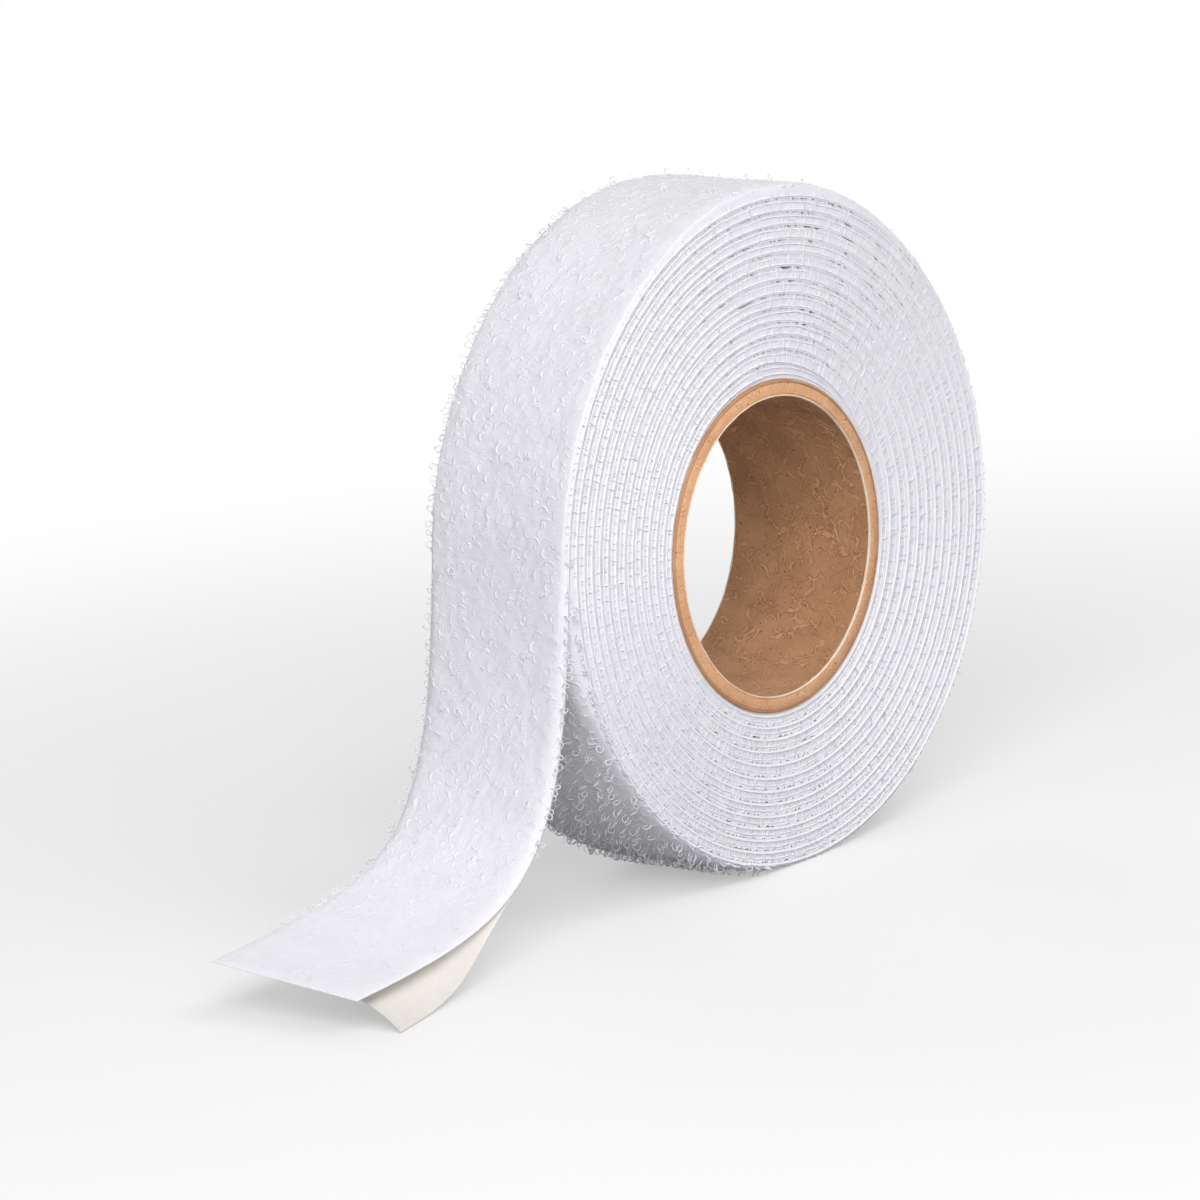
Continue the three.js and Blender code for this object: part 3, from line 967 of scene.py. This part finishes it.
def wedge_gap():
    """Gap between the roll's pile face and the liner of the free end, after where they part."""
    start = np.linspace(0, 40 * MM, 41)
    point, along, _, out = surface(start - OUTER_TURN, -HALF_WIDTH)
    free, _, _, free_out = surface(np.linspace(0, TAIL_LENGTH, 400), -HALF_WIDTH)
    apart = (free - free_out * TAPE_AND_LINER)[None] - point[:, None]
    ahead = np.einsum("abk,ak->ab", apart, along)
    above = np.einsum("abk,ak->ab", apart, out)
    return start, np.array([np.interp(0, row, height) for row, height in zip(ahead, above)])


gap_starts, gap_heights = wedge_gap()


def top_nap(length, side):
    """Nap on the roll's top, which isn't pressed. It stands highest at the back."""
    direction = (START_ANGLE + turn_angle(length)) % 360
    top = smooth(direction, *TOP_BEGINS) * (1 - smooth(direction, *TOP_ENDS))
    toward_back = smooth(side, *BACK_RAISE_SIDES)
    toward_front = FRONT_RAISE_SHARE * (1 - toward_back) * smooth(direction, *FRONT_RAISE_ENDS)
    return BACK_RAISE * top * (toward_back + toward_front)


def raised(length, side):
    """Nap that isn't pressed: on the roll's top, and where the free end parts from the roll."""
    start = length + OUTER_TURN
    gap = np.interp(start, gap_starts, gap_heights)
    room = np.clip(gap - WEDGE_CLEAR + MAT_DEPTH, 0, WEDGE_RAISE)
    return top_nap(length, side) + room * (1 - smooth(start, *WEDGE_RAISE_ENDS)) * (start >= 0)


def mat_depth(length, side):
    """Depth of the mat's soft surface below the pile face."""
    relief = 0.08 * MM * lattice_noise(length, side, 0.9 * MM, 71)
    relief = relief + 0.06 * MM * lattice_noise(length, side, 3.1 * MM, 72)
    height = (CLOTH_DEPTH - MAT_DEPTH + relief + raised(length, side)) * edge_fall(length, side)
    return CLOTH_DEPTH + 0.02 * MM - height


def pressed(length):
    """Share of its thickness that the tape keeps: it is pressed thin towards its end."""
    return 1 - (1 - THIN_SHARE) * smooth(length, THIN_START, THIN_FULL)


def on_surface(length, side, depth):
    """Points at a depth below the pile face."""
    point, _, _, out = surface(length, side)
    point = point - out * (depth * pressed(length))[..., None]
    point[..., 2] = np.maximum(point[..., 2], FLOOR_CLEAR)
    return point


def mat_piece(name, start, end):
    """The mat on a stretch of tape, with closer rows where it rounds off at the edges and the end."""
    lengths = np.linspace(start, end, int((end - start) / MAT_STEP) + 1)
    if end > 0.9 * TAIL_LENGTH:
        close = end - MAT_MARGIN - MAT_CLOSE_STEPS[::-1]
        lengths = np.concatenate([lengths[lengths < close[0]], close])
    edge = HALF_WIDTH - MAT_MARGIN - MAT_CLOSE_STEPS
    inner = np.linspace(-edge[-1], edge[-1], int(2 * edge[-1] / MAT_STEP))
    sides = np.concatenate([-edge[:-1], inner, edge[:-1][::-1]])
    length, side = np.meshgrid(lengths, sides, indexing="ij")
    top = on_surface(length, side, mat_depth(length, side))
    low = [on_surface(lengths, place, CLOTH_DEPTH + 0.05 * MM)[:, None] for place in sides[[-1, 0]]]
    sections = np.concatenate([top, *low], 1)
    corners = sections.shape[1]
    fan = np.array([(corners - 1, corner + 1, corner) for corner in range(corners - 2)])
    return loft(name, sections, pile_mat, PILE_SHARP, fan)


def tuft_places(start, end, rng, jitter):
    """Staggered places of the tufts between two lengths of the tape."""
    rows = np.arange(math.ceil(start / ROW_GAP), math.ceil(end / ROW_GAP))
    half = math.ceil(HALF_WIDTH / TUFT_GAP)
    row, column = np.meshgrid(rows, np.arange(-half, half + 1), indexing="ij")
    length = (row + rng.normal(0, jitter, row.shape)) * ROW_GAP
    side = (column + 0.5 * (row % 2) + rng.normal(0, jitter, row.shape)) * TUFT_GAP
    kept = (np.abs(side) < HALF_WIDTH - TUFT_MARGIN) & (length > start)
    kept &= length < min(end, TAIL_LENGTH - TUFT_MARGIN)
    return length[kept], side[kept]


def lying_loops(length, side, rng, radius, lift, turn_spread, sweep):
    """Loops brushed flat along the mat, half sunk in it: open arcs whose legs go under."""
    each = (len(length), 1)
    heading = BACK_TILT + rng.normal(0, turn_spread, each)
    radius = radius * rng.uniform(0.75, 1.2, each)
    stretch = rng.uniform(0.9, 1.3, each)
    angle = np.radians(np.linspace(-sweep, sweep, 10))
    forward = radius * stretch * np.cos(angle)
    sideways = radius * np.sin(angle)
    away = -np.cos(heading)
    over = np.sin(heading)
    edge = HALF_WIDTH - LOOP_MARGIN
    along_tape = length[:, None] + forward * away - sideways * over
    along_tape = np.minimum(along_tape, TAIL_LENGTH - LOOP_MARGIN)
    across_tape = np.clip(side[:, None] + forward * over + sideways * away, -edge, edge)
    rise = np.cos(0.5 * np.pi * angle / angle[-1]) ** 0.6
    height = (lift * rng.uniform(0.7, 1.3, each) + LEG_SINK) * rise - LEG_SINK
    paths = on_surface(along_tape, across_tape, mat_depth(along_tape, across_tape) - height)
    return paths, surface(length, side)[3]


def loop_room(length):
    """How far a loop may stand over the pile face: less where the free end or the floor is close."""
    point, _, _, out = surface(length, 0)
    room = START_ROOM + WEDGE_ROOM * smooth(length + OUTER_TURN, *ROOM_GROWS)
    over_floor = point[..., 2] / np.maximum(-out[..., 2], 0.05)
    return np.where(length < 0, np.minimum(room, np.maximum(over_floor, -LEG_SINK)), FREE_ROOM)


def ring_paths(base, axis, wide, tall, radius):
    """Round loops on a narrow neck, each in the plane of its axis and its wide way."""
    angle = np.radians(np.linspace(-RING_SWEEP, RING_SWEEP, 9))
    foot = 0.2 * radius
    x = np.concatenate([-foot, radius * np.sin(angle), foot], 1)
    head = np.maximum(tall - radius + radius * np.cos(angle), 0.05 * MM)
    h = np.concatenate([0 * foot, head, 0 * foot], 1)
    paths = base[:, None] + wide[:, None] * x[..., None] + axis[:, None] * h[..., None]
    return paths, unit(np.cross(wide, axis))


def standing_loops(length, side, rng):
    """Round loops that stand up from the mat."""
    each = (len(length), 1)
    _, along, across, out = surface(length, side)
    depth = mat_depth(length, side) + LEG_SINK / 2
    room = depth + loop_room(length) + top_nap(length, side)
    azimuth = math.pi + rng.normal(0, 1.0, each)
    lean = rng.uniform(0, math.radians(50), each)
    flat_way = along * np.cos(azimuth) + across * np.sin(azimuth)
    axis = out * np.cos(lean) + flat_way * np.sin(lean)
    spin = rng.uniform(0, math.pi, each)
    wide = unit(np.cross(axis, along * np.cos(spin) + across * np.sin(spin)))
    tall = np.minimum(rng.uniform(1.1, 1.6, each) * MM, room[:, None] / np.cos(lean))
    tall = np.maximum(tall, 0.1 * MM)
    radius = np.minimum(rng.uniform(0.4, 0.62, each) * MM, tall * 0.48)
    return ring_paths(on_surface(length, side, depth), axis, wide, tall, radius)


def hairs(length, side, rng):
    """Fine broken filaments that stand off the pile."""
    each = (len(length), 1)
    _, along, across, out = surface(length, side)
    base = on_surface(length, side, mat_depth(length, side) + 0.05 * MM)
    azimuth = rng.uniform(0, 2 * math.pi, each)
    way = along * np.cos(azimuth) + across * np.sin(azimuth)
    tall = np.minimum(rng.uniform(0.5, 1.3, each) * MM, 0.3 * MM + loop_room(length)[:, None] * 1.3)
    share = np.linspace(0, 1, 7)
    rise = tall * (1 - (1 - share) ** 2)
    drift = rng.uniform(0.3, 1.2, each) * MM * share ** 1.7
    paths = base[:, None] + out[:, None] * rise[..., None] + way[:, None] * drift[..., None]
    return paths, unit(np.cross(out, way))


def rod_radii(length, rng, thick):
    return (thick * rng.uniform(0.8, 1.2, len(length)) * pressed(length))[:, None]


def loop_pieces(name, start, end, seed):
    """Loops on a stretch of tape, as pieces that each hold one kind."""
    rng = np.random.default_rng(seed)

    def kind(part, shape, jitter, thick, material, sides, share=None, wedge_share=0.0, **form):
        length, side = tuft_places(start, end, rng, jitter)
        if share is not None:
            kept = rng.uniform(0, 1, len(length)) < share + wedge_share * in_wedge(length)
            length, side = length[kept], side[kept]
        paths, normals = shape(length, side, rng, **form)
        radii = rod_radii(length, rng, thick)
        return strand_piece(f"{name}_{part}", paths, radii, normals, material, sides)

    main = {"radius": 0.8 * MM, "lift": -0.15 * MM, "turn_spread": 0.7, "sweep": 90}
    fine = {"radius": 0.55 * MM, "lift": -0.11 * MM, "turn_spread": 1.6, "sweep": 85}
    return [
        kind("main", lying_loops, 0.12, 0.24 * MM, lying_mat, 6, **main),
        kind("fine", lying_loops, 0.45, 0.19 * MM, lying_mat, 5, **fine),
        kind("standing", standing_loops, 0.3, UPRIGHT_RADIUS, loop_mat, 4, share=0.05, wedge_share=0.8),
        kind("hairs", hairs, 0.5, 0.028 * MM, loop_mat, 3, share=0.12, wedge_share=1.0),
    ]


def edge_loops(name, start, end, side, seed):
    """Loops of the outermost wales, which hang over one edge of the tape."""
    rng = np.random.default_rng(seed)
    length = np.arange(start, end, EDGE_LOOP_GAP)
    each = (len(length), 1)
    length = np.clip(length + rng.normal(0, 0.35, len(length)) * EDGE_LOOP_GAP, start, end)
    place = side * (HALF_WIDTH - EDGE_LOOP_INSET)
    _, along, across, out = surface(length, place)
    base = on_surface(length, place, mat_depth(length, place) + 0.15 * MM)
    tilt = rng.normal(0.1, 0.3, each)
    swing = rng.normal(0, 0.45, each)
    axis = unit(side * across * np.cos(tilt) + out * np.sin(tilt) + along * swing)
    twist = rng.normal(0, 0.5, each)
    flat = unit(np.cross(out, axis))
    wide = flat * np.cos(twist) + np.cross(axis, flat) * np.sin(twist)
    tall = rng.uniform(1.0, 1.6, each) * MM
    radius = rng.uniform(0.36, 0.52, each) * MM
    paths, normals = ring_paths(base, axis, wide, tall, radius)
    radii = rod_radii(length, rng, UPRIGHT_RADIUS)
    return strand_piece(name, paths, radii, normals, loop_mat, 4)


def bend(piece, before, after, start, end):
    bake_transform(piece)


def bend_lift(piece):
    """Fixes a piece of the free end's first stretch, which curves out from the roll, where it stands."""
    start = on_surface(0.0, 0.0, 0.0)
    bend(piece, "roll", "tail_root", start, start + leave_way * LIFT_BEND_END)


def bend_curl(piece):
    start = on_surface(CURL_BEND_START, 0.0, 0.0)
    bend(piece, "tail_root", "tail_tip", start, on_surface(CURL_BEND_END, 0.0, 0.0))


dress_pile(
    on_roll,
    mat_piece("outer_pile_lower", -OUTER_TURN, -OUTER_TURN / 2),
    mat_piece("outer_pile_upper", -OUTER_TURN / 2, 0),
    *loop_pieces("outer_lower_loops", -OUTER_TURN + 0.5 * MM, -OUTER_TURN / 2, 81),
    *loop_pieces("outer_upper_loops", -OUTER_TURN / 2, 0, 80),
    edge_loops("outer_front_loops", 6 * MM - OUTER_TURN, 75 * MM - OUTER_TURN, -1, 84),
    edge_loops("outer_back_loops", 6 * MM - OUTER_TURN, 75 * MM - OUTER_TURN, 1, 85),
    edge_loops("outer_top_loops", -OUTER_TURN / 2, 0, 1, 90),
)


# Free end

FREE_STEP = 0.8 * MM
FREE_STRIPS = 24

cloth_layer = (CLOTH_DEPTH, CLOTH_THICKNESS, 0, cloth_mat, "loop_pile")
adhesive_layer = (TAPE_THICKNESS, LINER_GAP * 0.9, 0.15 * MM, adhesive_mat, "release_paper")
liner_layer = (LINER_DEPTH, LINER_THICKNESS, 0, paper_mat, "release_paper")


def free_ribbon(name, start, end, layer, move, *nodes):
    """A layer of the free end between two lengths."""
    depth, thickness, recess, material, slot = layer
    lengths = np.linspace(start, end, max(2, int((end - start) / FREE_STEP)) + 1)[:, None]
    side = (HALF_WIDTH - recess) * np.linspace(-1, 1, FREE_STRIPS + 1)
    faces = [on_surface(lengths, side, below) for below in (depth, depth + thickness)]
    return dress(sheet_piece(name, *faces, material), slot, move, *nodes)


def free_selvedge(name, start, end, side):
    """The cord that binds the cloth's edge, along the free end."""
    length = np.linspace(start, end, int((end - start) / SELVEDGE_STEP) + 2)
    path = on_surface(length, side * SELVEDGE_PLACE, SELVEDGE_DEPTH)
    return strand_piece(name, path, SELVEDGE_RADIUS * pressed(length), ACROSS, cord_mat, 6)


upper_cloth = free_ribbon("upper_cloth", 0, UPPER_END, cloth_layer, bend_lift, "tail_tape_root")
lower_cloth = free_ribbon("lower_cloth", UPPER_END, TAIL_LENGTH, cloth_layer, bend_curl, "tail_tape_tip")
free_ribbon("upper_adhesive", 0, UPPER_END, adhesive_layer, bend_lift)
free_ribbon("lower_adhesive", UPPER_END, TAIL_LENGTH - 0.2 * MM, adhesive_layer, bend_curl)
upper_liner = free_ribbon("upper_liner", 0, UPPER_END, liner_layer, bend_lift, "tail_liner_root")
lower_liner = free_ribbon("lower_liner", UPPER_END, LINER_TIP_START, liner_layer, bend_curl)
dress_pile(
    bend_lift,
    mat_piece("upper_pile", 0, UPPER_END),
    free_selvedge("upper_front_selvedge", 0, UPPER_END, -1),
    free_selvedge("upper_back_selvedge", 0, UPPER_END, 1),
    *loop_pieces("upper_loops", 0, UPPER_END, 82),
    edge_loops("upper_front_loops", 4 * MM, UPPER_END, -1, 86),
    edge_loops("upper_back_loops", 4 * MM, UPPER_END, 1, 87),
)
dress_pile(
    bend_curl,
    mat_piece("lower_pile", UPPER_END, TAIL_LENGTH),
    free_selvedge("lower_front_selvedge", UPPER_END, TAIL_LENGTH, -1),
    free_selvedge("lower_back_selvedge", UPPER_END, TAIL_LENGTH, 1),
    *loop_pieces("lower_loops", UPPER_END, TAIL_LENGTH, 83),
    edge_loops("lower_front_loops", UPPER_END, 42 * MM, -1, 88),
    edge_loops("lower_back_loops", UPPER_END, 78 * MM, 1, 89),
)


# Peeled corner of the liner, laid over the frame's own

PEEL_LENGTH = 46 * MM
PEEL_END_WIDTH = 9 * MM
FLAP_CORNER = (-95.5 * MM, -16.8 * MM)
FLAP_START_HANDLE = 16.4 * MM
FLAP_END_HANDLE = 21.6 * MM
FLAP_END_TURN = math.radians(13)
FLAP_KINK = math.radians(12)
FLAP_CREST = 0.5
FLAP_CREST_GAIN = 0.65
FLAP_STRIPS = 20
STUCK_STRIPS = 24
TIP_ROWS = 64
LINER_SHORT = 4 * MM
FLOOR_GAP = 0.1 * MM

peel_start = on_surface(PEEL_LENGTH, -HALF_WIDTH, LINER_DEPTH)


def flap_edge(share):
    """Points of the flap's free edge, from where it parts from the tape to its corner."""
    corner = np.array([*FLAP_CORNER, FLOOR_GAP + LINER_THICKNESS])
    corner_way = np.array([-math.cos(FLAP_END_TURN), -math.sin(FLAP_END_TURN), 0])
    start_way = surface(PEEL_LENGTH, -HALF_WIDTH)[1]
    second = peel_start + start_way * FLAP_START_HANDLE
    return cubic((peel_start, second, corner - corner_way * FLAP_END_HANDLE, corner), share)


def flap_strip(share, width, stuck):
    """Points across the parted liner at one row, from its free edge to the peel line."""
    line = on_surface(stuck, -HALF_WIDTH + width, LINER_DEPTH)
    _, _, across, out = surface(stuck, -HALF_WIDTH)
    bulge = (FLAP_CREST + FLAP_CREST_GAIN * share ** 2) * width
    crest = line - across * bulge - out * bulge * math.tan(FLAP_KINK)
    t = np.linspace(0, 1, FLAP_STRIPS + 1)[:, None]
    return flap_edge(share) * (1 - t) ** 2 + 2 * crest * t * (1 - t) + line * t ** 2


def liner_row(length):
    """Points across the liner at one row. It ends a little short of the tape that it sticks to."""
    stuck = length - LINER_SHORT * (length - LINER_TIP_START) / (TAIL_LENGTH - LINER_TIP_START)
    share = (length - PEEL_LENGTH) / (TAIL_LENGTH - PEEL_LENGTH)
    if length <= PEEL_LENGTH + 0.01 * MM:
        side = TAPE_WIDTH * np.linspace(0, 1, FLAP_STRIPS + STUCK_STRIPS + 1) - HALF_WIDTH
        return on_surface(stuck, side, LINER_DEPTH)
    width = share * PEEL_END_WIDTH
    side = width - HALF_WIDTH + (TAPE_WIDTH - width) * np.linspace(0, 1, STUCK_STRIPS + 1)[1:]
    return np.concatenate([flap_strip(share, width, stuck), on_surface(stuck, side, LINER_DEPTH)])


def liner_tip():
    """The liner's last stretch as one sheet: stuck to the tape past the peel line, parted before it."""
    top = np.stack([liner_row(length) for length in np.linspace(LINER_TIP_START, TAIL_LENGTH, TIP_ROWS)])
    along = unit(np.gradient(top, axis=0))
    across = unit(np.gradient(top, axis=1))
    bottom = top - unit(np.cross(across, along)) * LINER_THICKNESS
    bottom[..., 2] = np.maximum(bottom[..., 2], FLOOR_GAP * 0.5)
    return sheet_piece("liner_tip", top, bottom, paper_mat)


def bend_peel(piece):
    """Fixes the liner's tip where it stands. The sheet turns at the peel line, which runs askew to the
    tape's front end.
    """
    peel_end = on_surface(TAIL_LENGTH, -HALF_WIDTH + PEEL_END_WIDTH, LINER_DEPTH)
    line = unit(peel_end - peel_start)
    toward_front = -surface(0.5 * (PEEL_LENGTH + TAIL_LENGTH), 0.0)[2]
    toward_front = unit(toward_front - line * np.dot(toward_front, line))
    start = (peel_start + peel_end) / 2
    bend(piece, "tail_tip", "liner_corner", start, start + toward_front * PEEL_BEND_WIDTH)


tip = dress(liner_tip(), "release_paper", bend_peel, "tail_liner_tip", "liner_flap")


# Line along the middle of the winding, at the tape's back face

wound_line = winding_point(np.linspace(0, WOUND_ANGLE, 6000), TAPE_THICKNESS, 0)


# Camera, fitted to the photograph

CAMERA_AZIMUTH = math.radians(-49.88)
CAMERA_ELEVATION = math.radians(11.98)
CAMERA_ROLL = math.radians(-4.38)
CAMERA_AIM = (-26.38 * MM, 0, 44.91 * MM)
CAMERA_DISTANCE = 0.9
CAMERA_SENSOR = 36
FOCAL_PIXELS = 6186.27
PICTURE_PIXELS = 1200


def make_camera():
    data = bpy.data.cameras.new("camera")
    data.sensor_width = CAMERA_SENSOR
    data.lens = FOCAL_PIXELS * CAMERA_SENSOR / PICTURE_PIXELS
    data.clip_start = 0.01
    data.clip_end = 20
    camera = bpy.data.objects.new("camera", data)
    place = Matrix.Translation(CAMERA_AIM)
    for turn, axis in ((CAMERA_AZIMUTH, "Z"), (math.pi / 2 - CAMERA_ELEVATION, "X"), (CAMERA_ROLL, "Z")):
        place = place @ Matrix.Rotation(turn, 4, axis)
    camera.matrix_world = place @ Matrix.Translation((0, 0, CAMERA_DISTANCE))
    bpy.context.scene.collection.objects.link(camera)
    bpy.context.scene.camera = camera


# Floor and light

FLOOR_HALF = 3.0
FLOOR_LIT = (0.36, 0.36, 0.37, 1)
FLOOR_SEEN = (0.98, 0.98, 0.98, 1)
LAMP_AIM = Vector((0, 0, 0.04))
FILL_LEVEL = 0.28


def softbox(name, place, size, level):
    """A square area lamp that points at the roll."""
    data = bpy.data.lights.new(name, "AREA")
    data.size = size
    data.energy = level
    lamp = bpy.data.objects.new(name, data)
    lamp.rotation_mode = "QUATERNION"
    lamp.rotation_quaternion = (LAMP_AIM - Vector(place)).to_track_quat("-Z", "Y")
    lamp.location = place
    bpy.context.scene.collection.objects.link(lamp)


def seen_directly(tree):
    """1 where the ray comes from the camera, a mirror or glass, else 0."""
    path = tree.nodes.new("ShaderNodeLightPath")
    total = path.outputs["Is Camera Ray"]
    for other in ("Is Glossy Ray", "Is Transmission Ray"):
        total = math_node(tree, "MAXIMUM", total, path.outputs[other])
    return total


def make_world():
    """White where it is seen directly, and a weak fill light elsewhere."""
    world = bpy.data.worlds.new("studio")
    world.use_nodes = True
    tree = world.node_tree
    fill = tree.nodes["Background"]
    fill_inputs(tree, fill, {"Color": WHITE, "Strength": FILL_LEVEL})
    white = add_node(tree, "Background", 0, {"Color": WHITE, "Strength": 1})
    mix = add_node(tree, "MixShader", 0, {0: seen_directly(tree), 1: fill.outputs[0], 2: white})
    tree.links.new(mix, tree.nodes["World Output"].inputs["Surface"])
    bpy.context.scene.world = world


def floor_material():
    """Pale matt floor that runs out to plain white away from the object."""
    material, tree = new_material("floor")
    tree.nodes.remove(tree.nodes["Principled BSDF"])
    place = add_node(tree, "TexCoord", "Object", {})
    distance = add_node(tree, "VectorMath", "Value", {0: place}, operation="LENGTH")
    spread = {"Value": distance, "From Min": 0.12, "From Max": 0.35, "To Min": 0.4}
    spread = add_node(tree, "MapRange", "Result", spread, interpolation_type="SMOOTHSTEP")
    direct = seen_directly(tree)
    matt = add_node(tree, "BsdfDiffuse", 0, {"Color": blended(tree, "MIX", direct, FLOOR_LIT, FLOOR_SEEN)})
    glow = add_node(tree, "Emission", 0, {"Strength": 1})
    mix = {0: math_node(tree, "MULTIPLY", spread, direct), 1: matt, 2: glow}
    mix = add_node(tree, "MixShader", 0, mix)
    tree.links.new(mix, tree.nodes["Material Output"].inputs["Surface"])
    return material


def make_floor():
    h = FLOOR_HALF
    corners = [(-h, -h, 0), (h, -h, 0), (h, h, 0), (-h, h, 0)]
    mesh_piece("floor", corners, [(0, 1, 2), (0, 2, 3)], floor_material())


make_camera()
make_world()
make_floor()
softbox("key", (-0.7, -0.5, 0.6), 0.6, 5.7)
softbox("front_fill", (0.1, -0.7, 0.95), 0.7, 3.2)
softbox("low_fill", (-0.5, -1.0, 0.18), 0.6, 3.7)
softbox("back_fill", (0.5, 1.0, 0.7), 0.7, 2.4)
bpy.context.scene.view_settings.view_transform = "Standard"
